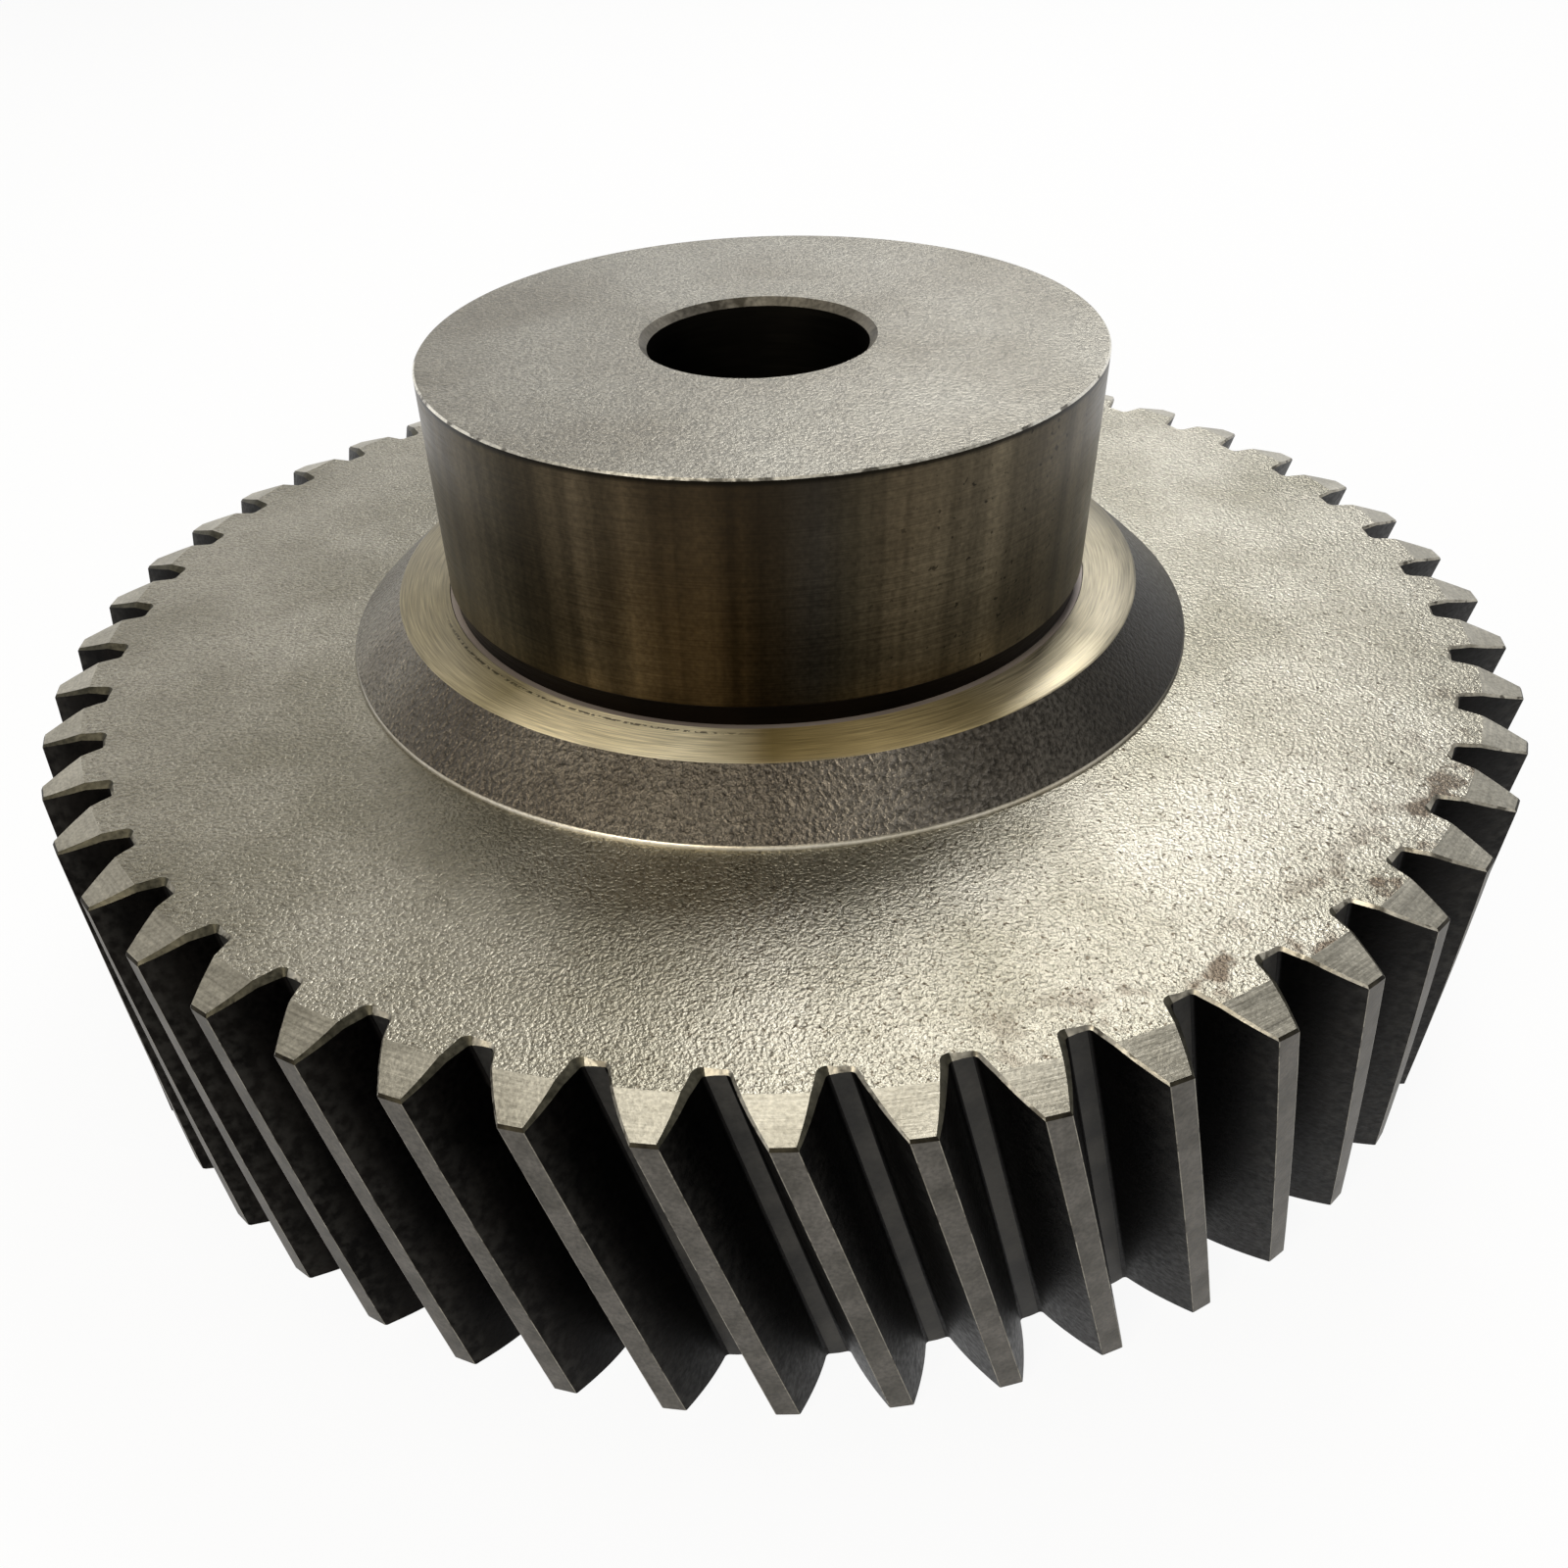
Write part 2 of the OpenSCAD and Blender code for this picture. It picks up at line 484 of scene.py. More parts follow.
@dataclass
class ToothedRim:
    """The helical teeth with their turned and bevelled ends, and narrow strips along the edges of
    the tips that carry a painted highlight.
    """

    sizes: GearSizes
    form: ToothForm
    book: MeshBook
    # Width and drop of the narrow strips along the tip edges, which carry a painted highlight.
    tip_edge_width: float = 0.11
    tip_edge_drop: float = 0.03
    root_margin: float = 0.75
    flank_rows: int = 9
    helix_rows: int = 7
    land_steps: int = 4
    root_steps: int = 4

    def edge_radii(self) -> list[float]:
        """Spreads the rows across a tooth's end.

        Returns:
            Their radii from the root out, one of them on the crease of the top cone.
        """
        sizes = self.sizes
        radii = np.linspace(sizes.root_r + self.root_margin, sizes.tip_edge_r, self.flank_rows)
        nearest = min(range(1, len(radii) - 1), key=lambda k: abs(radii[k] - sizes.top_cone_r))
        radii[nearest] = sizes.top_cone_r
        return [float(r) for r in radii]

    def outline(self, top: bool) -> list[GapPoint]:
        """Lists the points of one gap from tip to tip, in order of angle.

        Args:
            top: True at the end by the hub.

        Returns:
            The points of one flank, fillet and root land, then of the other fillet and flank.
        """
        steps = self.form.fillet_steps
        half: dict[int, list[GapPoint]] = {}
        for side in (-1, 1):
            half[side] = [
                self.form.on_flank(self.sizes.tip_r - self.tip_edge_drop, side),
                *(self.form.under_edge(r, side, top) for r in reversed(self.edge_radii())),
                *(self.form.on_fillet(i / steps, side) for i in range(steps, -1, -1)),
            ]
        land = [self.form.on_land(s) for s in np.linspace(-1, 1, self.root_steps + 1)[1:-1]]
        return [*half[-1], *land, *reversed(half[1])]

    def land_angles(self) -> list[float]:
        """Spreads the points across a tooth's tip.

        Returns:
            Their angles past the middle of the gap before the tooth.
        """
        sizes = self.sizes
        edge = self.form.half_gap(sizes.tip_r - self.tip_edge_drop)
        inset = self.tip_edge_width / sizes.tip_r
        angles = np.linspace(edge + inset, sizes.pitch_angle - edge - inset, self.land_steps + 1)
        return [float(a) for a in angles]

    def gap_angle(self, gap: int, height: float) -> float:
        """Angle of the middle of a gap at a height."""
        turn = self.sizes.turn_per_mm * (height - self.sizes.face_width / 2)
        return self.sizes.pitch_angle * (gap + 0.5) + turn

    def edge_row(self, top: bool) -> list[int]:
        """Adds the outer edges of the bevels at one end, round the whole gear.

        Args:
            top: True at the end by the hub.

        Returns:
            Numbers of the points, where each tip has the number of the row beside it.
        """
        edges = [self.form.pushed(point, top) for point in self.outline(top)[1:-1]]
        edge_r = self.sizes.tip_edge_r
        row: list[int] = []
        for gap in range(self.sizes.tooth_count):
            marks = []
            for radius, angle in edges:
                height = self.form.end_height(radius, top)
                marks.append(self.book.point(radius, self.gap_angle(gap, height) + angle, height))
            height = self.form.end_height(edge_r, top)
            centre = self.gap_angle(gap, height)
            land = self.book.ring(edge_r, [centre + a for a in self.land_angles()], height)
            row += [marks[0], *marks, marks[-1], *land]
        return row

    def helix_row(self, share: float) -> list[int]:
        """Adds a row round the teeth.

        Args:
            share: 0 at the inner edges of the lower bevels and 1 at those of the upper ones.

        Returns:
            Numbers of the points.
        """
        sizes, form = self.sizes, self.form
        under, over = self.outline(False), self.outline(True)
        tip_span = (
            form.end_height(sizes.tip_r, False) + sizes.tip_chamfer,
            form.end_height(sizes.tip_r, True) - sizes.tip_chamfer,
        )
        places = []
        for i, (low, high) in enumerate(zip(under, over)):
            at_tip = i in (0, len(under) - 1)
            span = tip_span if at_tip else (form.bevel_end(low, False), form.bevel_end(high, True))
            ends = np.array([[low.radius, low.angle, span[0]], [high.radius, high.angle, span[1]]])
            places.append(ends[0] + (ends[1] - ends[0]) * share)
        tip_height = tip_span[0] + (tip_span[1] - tip_span[0]) * share
        places += [np.array([sizes.tip_r, a, tip_height]) for a in self.land_angles()]
        return [
            self.book.point(radius, self.gap_angle(gap, height) + angle, height)
            for gap in range(sizes.tooth_count)
            for radius, angle, height in places
        ]

    def pitch_zones(
        self, first: Zone, root: Zone, last: Zone, edge: Zone, land: Zone
    ) -> list[Zone]:
        """Lists the zones of one pitch of a row of faces.

        Args:
            first: Zone on the side of the gap that comes first.
            root: Zone on the root land.
            last: Zone on the other side of the gap.
            edge: Zone on both edges of the tip.
            land: Zone on the tip between them.

        Returns:
            The zones from a tip over the gap to the next tip.
        """
        side = self.flank_rows + self.form.fillet_steps + 1
        gap = [*[first] * side, *[root] * self.root_steps, *[last] * side]
        return [*gap, edge, *[land] * self.land_steps, edge]

    def end_faces(self, edge: Sequence[int], top: bool) -> list[int]:
        """Closes the ends of the teeth inside the bevels.

        Args:
            edge: Row of the outer edges of the bevels.
            top: True at the end by the hub.

        Returns:
            Row of points round the roots and across the teeth, open to the side of the wheel.
        """
        count = self.sizes.tooth_count
        per_pitch = len(edge) // count
        rows = self.flank_rows
        after_gap = per_pitch - self.land_steps - 1
        radii = self.edge_radii()
        border: list[int] = []
        for tooth in range(count):
            gap = edge[tooth * per_pitch : (tooth + 1) * per_pitch]
            following = (tooth + 1) % count
            beyond = edge[following * per_pitch : (following + 1) * per_pitch]
            outer = [gap[after_gap - 2], *gap[after_gap:], beyond[1]]
            for k in range(1, rows):
                start, end = gap[after_gap - 2 - k], beyond[1 + k]
                inner = [start, *self.across(start, end), end]
                turned = not top or radii[rows - 1 - k] >= self.sizes.top_cone_r
                zone = Zone.END_CONE if turned else Zone.WEB
                lower, upper = (outer, inner) if top else (inner, outer)
                self.book.strip(lower, upper, zone)
                outer = inner
            root = gap[rows : after_gap - rows]
            border += [*root[:-1], *outer[:-1]] if root[-1] == outer[0] else [*root, *outer[1:-1]]
        return border

    def across(self, start: int, end: int) -> list[int]:
        """Adds evenly spread points on the arc between two points of equal radius.

        Args:
            start: Number of the point at the lesser angle.
            end: Number of the other point.

        Returns:
            Numbers of the new points.
        """
        (x0, y0, z0), (x1, y1, _) = self.book.points[start], self.book.points[end]
        radius, first = math.hypot(x0, y0), math.atan2(y0, x0)
        sweep = (math.atan2(y1, x1) - first) % (2 * math.pi)
        steps = self.land_steps + 2
        return [self.book.point(radius, first + sweep * i / steps, z0) for i in range(1, steps)]

    def build(self) -> tuple[list[int], list[int]]:
        """Adds the whole rim.

        Returns:
            Open rows at the underside and at the top.
        """
        blunt, sharp, chamfer = Zone.BLUNT_BEVEL, Zone.SHARP_BEVEL, Zone.TIP_CHAMFER
        sides = self.pitch_zones(Zone.FLANK, Zone.ROOT, Zone.FLANK, Zone.TIP_EDGE, Zone.TIP)
        under_edge = self.edge_row(False)
        under = self.end_faces(under_edge, False)
        row = self.helix_row(0.0)
        self.book.belt(under_edge, row, self.pitch_zones(sharp, sharp, blunt, chamfer, chamfer))
        for step in range(1, self.helix_rows + 1):
            following = self.helix_row(step / self.helix_rows)
            self.book.belt(row, following, sides)
            row = following
        top_edge = self.edge_row(True)
        self.book.belt(row, top_edge, self.pitch_zones(blunt, sharp, sharp, chamfer, chamfer))
        return under, self.end_faces(top_edge, True)


@dataclass
class TurnedBody:
    """Everything inside the teeth: underside, web, cone, shoulder, journal, hub top and bore."""

    sizes: GearSizes
    book: MeshBook
    under_rings: tuple[float, ...] = (94.5, 75.0, 50.0, 30.0)
    web_rings: tuple[float, ...] = (94.5, 88.0, 80.0, 71.0)
    cone_ring: float = 58.5
    shoulder_ring: float = 50.0
    top_rings: tuple[float, ...] = (38.0, 28.0)
    bore_steps: int = 6
    edge_break: float = 0.12

    def underside(self) -> list[float]:
        """Radii of the underside's rings, from the teeth to the bore."""
        return [*self.under_rings, self.sizes.bore_r + self.sizes.bore_chamfer]

    def upper_side(self) -> list[tuple[float, float, Zone]]:
        """Lists the rings from the teeth in and up over the hub to the bore.

        Returns:
            Radius, height and the zone of the strip that ends at each ring.
        """
        s = self.sizes
        web, shoulder, top = s.face_width, s.shoulder_top, s.hub_top
        step = web + s.foot_step
        rise = (s.foot_r - self.cone_ring) / (s.foot_r - s.shoulder_r)
        groove_r = s.journal_r - s.groove_depth
        relief_r = groove_r + s.face_relief_width
        floor = shoulder - s.face_relief_depth
        journal_start = shoulder + s.groove_length
        nick = self.edge_break
        return [
            *((radius, web, Zone.WEB) for radius in (*self.web_rings, s.foot_r)),
            (s.foot_r - nick / 2, step - nick, Zone.FOOT),
            (s.foot_r - nick * 2, step, Zone.FOOT),
            (self.cone_ring, step + (shoulder - step) * rise, Zone.CONE),
            (s.shoulder_r + nick, shoulder - nick, Zone.CONE),
            (s.shoulder_r - nick, shoulder, Zone.RING),
            (self.shoulder_ring, shoulder, Zone.RING),
            (relief_r, shoulder, Zone.RING),
            (relief_r - s.face_relief_depth, floor, Zone.GROOVE),
            (groove_r, floor, Zone.RELIEF),
            (groove_r, journal_start - s.groove_depth, Zone.GROOVE),
            (s.journal_r, journal_start, Zone.GROOVE),
            (s.journal_r, (journal_start + top) / 2, Zone.JOURNAL),
            (s.journal_r, top - s.journal_chamfer, Zone.JOURNAL),
            (s.journal_r - s.journal_chamfer, top, Zone.RIM),
            *((r, top, Zone.TOP) for r in (*self.top_rings, s.bore_r + s.bore_chamfer)),
            (s.bore_r, top - s.bore_chamfer, Zone.MOUTH),
        ]

    def build(self, under: Sequence[int], over: Sequence[int]) -> None:
        """Adds the body between the rim's two open rows.

        Args:
            under: The rim's open row at the underside.
            over: The rim's open row at the top.
        """
        below, above = (
            [math.atan2(self.book.points[i][1], self.book.points[i][0]) for i in row]
            for row in (under, over)
        )
        row = list(over)
        for radius, height, zone in self.upper_side():
            following = self.book.ring(radius, above, height)
            self.book.belt(row, following, zone)
            row = following
        rings = [self.book.ring(radius, below, 0.0) for radius in self.underside()]
        self.close_bore(row, rings[-1], above, below)
        for inner, outer in zip(reversed(rings), [*reversed(rings[:-1]), list(under)]):
            self.book.belt(inner, outer, Zone.WEB)

    def close_bore(
        self,
        row: Sequence[int],
        under_row: Sequence[int],
        above: Sequence[float],
        below: Sequence[float],
    ) -> None:
        """Joins the upper mouth of the bore to the lower one.

        Args:
            row: Ring at the top of the bore's wall.
            under_row: Ring at the outer edge of the lower mouth.
            above: Angles of the rings at the top.
            below: Angles of the rings at the underside.
        """
        s = self.sizes
        high, low = s.hub_top - s.bore_chamfer, s.bore_chamfer
        over, under = np.unwrap(above), np.unwrap(below)
        turn = s.turn_per_mm * s.face_width
        under += np.round((over - turn - under).mean() / (2 * math.pi)) * 2 * math.pi
        for step in range(1, self.bore_steps + 1):
            share = step / self.bore_steps
            mixed = [float(a) for a in over + (under - over) * share]
            following = self.book.ring(s.bore_r, mixed, high + (low - high) * share)
            self.book.belt(row, following, Zone.BORE)
            row = following
        self.book.belt(row, under_row, Zone.MOUTH)


class Spot:
    """Where on the gear a shaded point is, as sockets in millimetres."""

    def __init__(self, tree: bpy.types.NodeTree) -> None:
        """Wires the sockets.

        Args:
            tree: Node tree of the material.
        """
        self.tree = tree
        self.point = self.scaled(wire(tree, Kind.PLACE, output="Object"), 1 / MM)
        flat = self.vector("MULTIPLY", self.point, (1.0, 1.0, 0.0))
        self.radius = self.vector("LENGTH", flat, output="Value")
        self.outward = self.vector("NORMALIZE", flat)
        x, y, self.height = (wire(tree, Kind.SPLIT, {0: self.point}, output=axis) for axis in "XYZ")
        per_turn = {0: self.maths("ARCTAN2", y, x), 1: 1 / (2 * math.pi), 2: 0.5}
        self.turn = wire(tree, Kind.MATH, per_turn, operation="MULTIPLY_ADD")

    def maths(self, operation: str, first: Socket, second: Value = 0.0) -> Socket:
        """Works out a value from one or two others."""
        return wire(self.tree, Kind.MATH, {0: first, 1: second}, operation=operation)

    def times(self, first: Socket, second: Value) -> Socket:
        """Multiplies two values."""
        return self.maths("MULTIPLY", first, second)

    def vector(
        self, how: str, first: Socket, second: Value = (0.0, 0.0, 0.0), output: str = "Vector"
    ) -> Socket:
        """Works out a vector, or the output Value, from one or two vectors."""
        return wire(self.tree, Kind.VECTOR, {0: first, 1: second}, output=output, operation=how)

    def scaled(self, vector: Socket, factor: float) -> Socket:
        """Multiplies a vector by a number."""
        return wire(self.tree, Kind.VECTOR, {0: vector, "Scale": factor}, operation="SCALE")

    def noise(self, place: Socket, scale: float = 1.0, detail: float = 3.0) -> Socket:
        """Noise from 0 to 1 at a place."""
        return wire(self.tree, Kind.NOISE, {"Vector": place, "Scale": scale, "Detail": detail})

    def grain(self, size: float, detail: float = 3.0, offset: float = 0.0) -> Socket:
        """Even noise of a size in millimetres, where an offset keeps it apart from other noise."""
        moved = self.vector("ADD", self.point, (offset, offset, offset))
        return self.noise(moved, 1 / size, detail)

    def lathe_lines(self, feed: float, around: float) -> Socket:
        """Makes noise drawn out round the axis, as a turning or grinding tool leaves it.

        Args:
            feed: Distance between lines in millimetres.
            around: How many times the lines change in a turn of one radian.

        Returns:
            The noise, from 0 to 1.
        """
        reach = self.times(self.maths("ADD", self.radius, self.height), 1 / feed)
        along = wire(self.tree, Kind.JOIN, {2: reach})
        return self.noise(self.vector("ADD", self.scaled(self.outward, around), along))

    def spread(self, value: Socket, low: float, high: float, to: tuple[float, float]) -> Socket:
        """Maps the way from low to high to the range, and clamps the result to it."""
        ends = {"From Min": low, "From Max": high, "To Min": to[0], "To Max": to[1]}
        return wire(self.tree, Kind.SPREAD, {"Value": value, **ends})

    def blend(self, factor: Value, first: Value, second: Value, how: str = "MIX") -> Socket:
        """Mixes two colours, where the factor is the share of the second one."""
        inputs = {0: factor, 6: first, 7: second}
        return wire(self.tree, Kind.MIX, inputs, output=2, data_type="RGBA", blend_type=how)

    def shaded(self, colour: Socket, noise: Socket, depth: float) -> Socket:
        """Darkens and lightens a colour by a noise.

        Args:
            colour: The colour.
            noise: Where it is low the colour is darkest, and where it is high it is lightest.
            depth: Greatest share that is taken off or added.

        Returns:
            The shaded colour.
        """
        shade = self.spread(noise, *NOISE_SPAN, (1 - depth, 1 + depth))
        grey = wire(self.tree, Kind.JOIN, {0: shade, 1: shade, 2: shade})
        return self.blend(1.0, colour, grey, "MULTIPLY")


@dataclass(frozen=True)
class Side:
    """A side of the gear where a share differs from elsewhere.

    Attributes:
        azimuth: Its direction from +X in degrees.
        start: Cosine of the angle to it at which the share starts to change.
        full: Cosine of the angle to it at which the change is full.
        away: Share away from the side.
        there: Share on the side.
    """

    azimuth: float
    start: float
    full: float
    away: float = 0.0
    there: float = 1.0

    def share(self, spot: Spot) -> Socket:
        """Wires the share.

        Args:
            spot: Sockets of the place.

        Returns:
            The share at the place.
        """
        turn = math.radians(self.azimuth)
        way = (math.cos(turn), math.sin(turn), 0.0)
        near = spot.vector("DOT_PRODUCT", spot.outward, way, output="Value")
        return spot.spread(near, self.start, self.full, (self.away, self.there))


@dataclass(frozen=True)
class Blots:
    """Pits, smears, nicks or scratches that lie irregularly on a surface.

    Attributes:
        colour: Their colour.
        size: Rough distance between them in millimetres.
        edge: Values of the noise at which a blot starts and is full.
        full: How much of the surface's colour a full blot hides.
        detail: Detail of their outline.
        offset: Shift that keeps them apart from other noise.
        between: How much of the surface's colour is hidden between them.
        radii: Pairs of radii, from where there are none to where they are full.
        side: Side that they keep to, or None.
    """

    colour: str
    size: float
    edge: tuple[float, float]
    full: float
    detail: float
    offset: float
    between: float = 0.0
    radii: tuple[tuple[float, float], ...] = ()
    side: Side | None = None

    def on(self, spot: Spot, colour: Socket) -> Socket:
        """Lays the blots on a colour.

        Args:
            spot: Sockets of the place.
            colour: The colour below.

        Returns:
            The colour with the blots on it.
        """
        noise = spot.grain(self.size, self.detail, self.offset)
        amount = spot.spread(noise, *self.edge, (self.between, self.full))
        for ends in self.radii:
            amount = spot.times(amount, spot.spread(spot.radius, *ends, (0.0, 1.0)))
        if self.side:
            amount = spot.times(amount, self.side.share(spot))
        return spot.blend(amount, colour, linear(self.colour))


def nicks(size: float) -> tuple[Blots, ...]:
    """Dark nicks on an edge, by their rough distance in millimetres."""
    return (Blots("#3A362E", size, edge=(0.56, 0.63), full=0.8, detail=3.0, offset=5.0),)


@dataclass(frozen=True)
class Steel:
    """A steel surface: colours, roughness and relief that its making leaves.

    Attributes:
        name: Name of the material.
        dark: Colour of its darker patches.
        pale: Colour of its lighter patches.
        cloud: Size of those patches in millimetres.
        roughness: Least and greatest roughness.
        grain: Size of the grain in millimetres, or 0 for none.
        relief: Depth of the relief in millimetres.
        feed: Distance between tool lines in millimetres, or 0 for none.
        around: How many times the tool lines change in a turn of one radian.
        line_tone: How much the tool lines darken and lighten the colour.
        fleck_tone: How much the grain darkens and lightens the colour.
        tones: Colours round the axis that multiply the others, by share of a turn from -X.
        anisotropic: How far the tool lines draw out the gloss.
        depth: Share of the relief that shows.
        bare: How bare the metal is, from 0 under a film that scatters the light to 1.
        blots: Pits, smears, nicks and scratches.
    """

    name: str
    dark: str
    pale: str
    cloud: float = 20.0
    roughness: tuple[float, float] = (0.4, 0.55)
    grain: float = 0.0
    relief: float = 0.02
    feed: float = 0.0
    around: float = 6.0
    line_tone: float = 0.0
    fleck_tone: float = 0.0
    tones: tuple[tuple[float, str], ...] = ()
    anisotropic: float = 0.0
    depth: float | Side = 1.0
    bare: float | Side = 1.0
    blots: tuple[Blots, ...] = ()
    grain_detail: ClassVar[float] = 2.5
    grain_offset: ClassVar[float] = 31.0

    def stains_and_painted_reflections(self, spot: Spot, colour: Socket) -> Socket:
        """Adds the stains and painted reflections that only this surface has, and a plain surface
        has none.
        """
        return colour

    def make(self) -> bpy.types.Material:
        """Makes the material.

        Returns:
            The material, named for the steel and how its surface was made.
        """
        material = bpy.data.materials.new(self.name)
        material.use_nodes = True
        tree = material.node_tree
        tree.nodes.clear()
        spot = Spot(tree)
        patches = spot.spread(spot.grain(self.cloud), *PATCH_SPAN, (0.0, 1.0))
        colour = spot.blend(patches, linear(self.dark), linear(self.pale))
        if self.tones:
            tone = wire(tree, Kind.RAMP, {0: spot.turn}, stops=self.tones)
            colour = spot.blend(1.0, colour, tone, "MULTIPLY")
        relief: list[Socket] = []
        if self.grain:
            relief.append(spot.grain(self.grain, self.grain_detail, self.grain_offset))
            colour = spot.shaded(colour, relief[-1], self.fleck_tone)
        if self.feed:
            relief.append(spot.lathe_lines(self.feed, self.around))
            colour = spot.shaded(colour, relief[-1], self.line_tone)
        colour = self.stains_and_painted_reflections(spot, colour)
        for blots in self.blots:
            colour = blots.on(spot, colour)
        height = relief[0]
        for other in relief[1:]:
            height = spot.maths("ADD", height, other)
        depth, bare = (
            value.share(spot) if isinstance(value, Side) else value
            for value in (self.depth, self.bare)
        )
        bump = {"Height": height, "Distance": self.relief * MM, "Strength": depth}
        inputs: dict[str | int, Value] = {
            "Base Color": colour,
            "Metallic": bare,
            "Roughness": spot.spread(relief[-1], *NOISE_SPAN, self.roughness),
            "Anisotropic": self.anisotropic,
            "Normal": wire(tree, Kind.BUMP, bump),
        }
        if self.anisotropic:
            inputs["Tangent"] = wire(tree, Kind.TANGENT, direction_type="RADIAL", axis="Z")
        wire(tree, Kind.OUTPUT, {"Surface": wire(tree, Kind.SHADER, inputs)})
        return material


@dataclass(frozen=True)
class GroundJournal(Steel):
    """Ground journal with soft upright bands, partly handling stains and partly painted
    reflections, and a dark line under its upper edge.

    The film and the dark line each have a colour, their lower and upper edges in millimetres
    below the chamfer, and the share that they hide.
    """

    stain_and_reflection_bands: float = 15.0
    stain_and_reflection_tone: float = 0.45
    chamfer_height: float = 91.15
    film: tuple[str, float, float, float] = ("#302B24", 20.0, 0.0, 0.4)
    dark_line: tuple[str, float, float, float] = ("#14120E", 0.8, 0.3, 0.9)

    def stains_and_painted_reflections(self, spot: Spot, colour: Socket) -> Socket:
        """Adds the bands of stains and painted reflections, the film and the dark line.

        Args:
            spot: Sockets of the place.
            colour: Colour of the bare surface.

        Returns:
            Its colour with them.
        """
        stain_and_reflection_bands = spot.noise(spot.scaled(spot.outward, self.stain_and_reflection_bands))
        colour = spot.shaded(colour, stain_and_reflection_bands, self.stain_and_reflection_tone)
        for shade, low, high, share in (self.film, self.dark_line):
            ends = self.chamfer_height - low, self.chamfer_height - high
            amount = spot.spread(spot.height, *ends, (0.0, share))
            colour = spot.blend(amount, colour, linear(shade))
        return colour


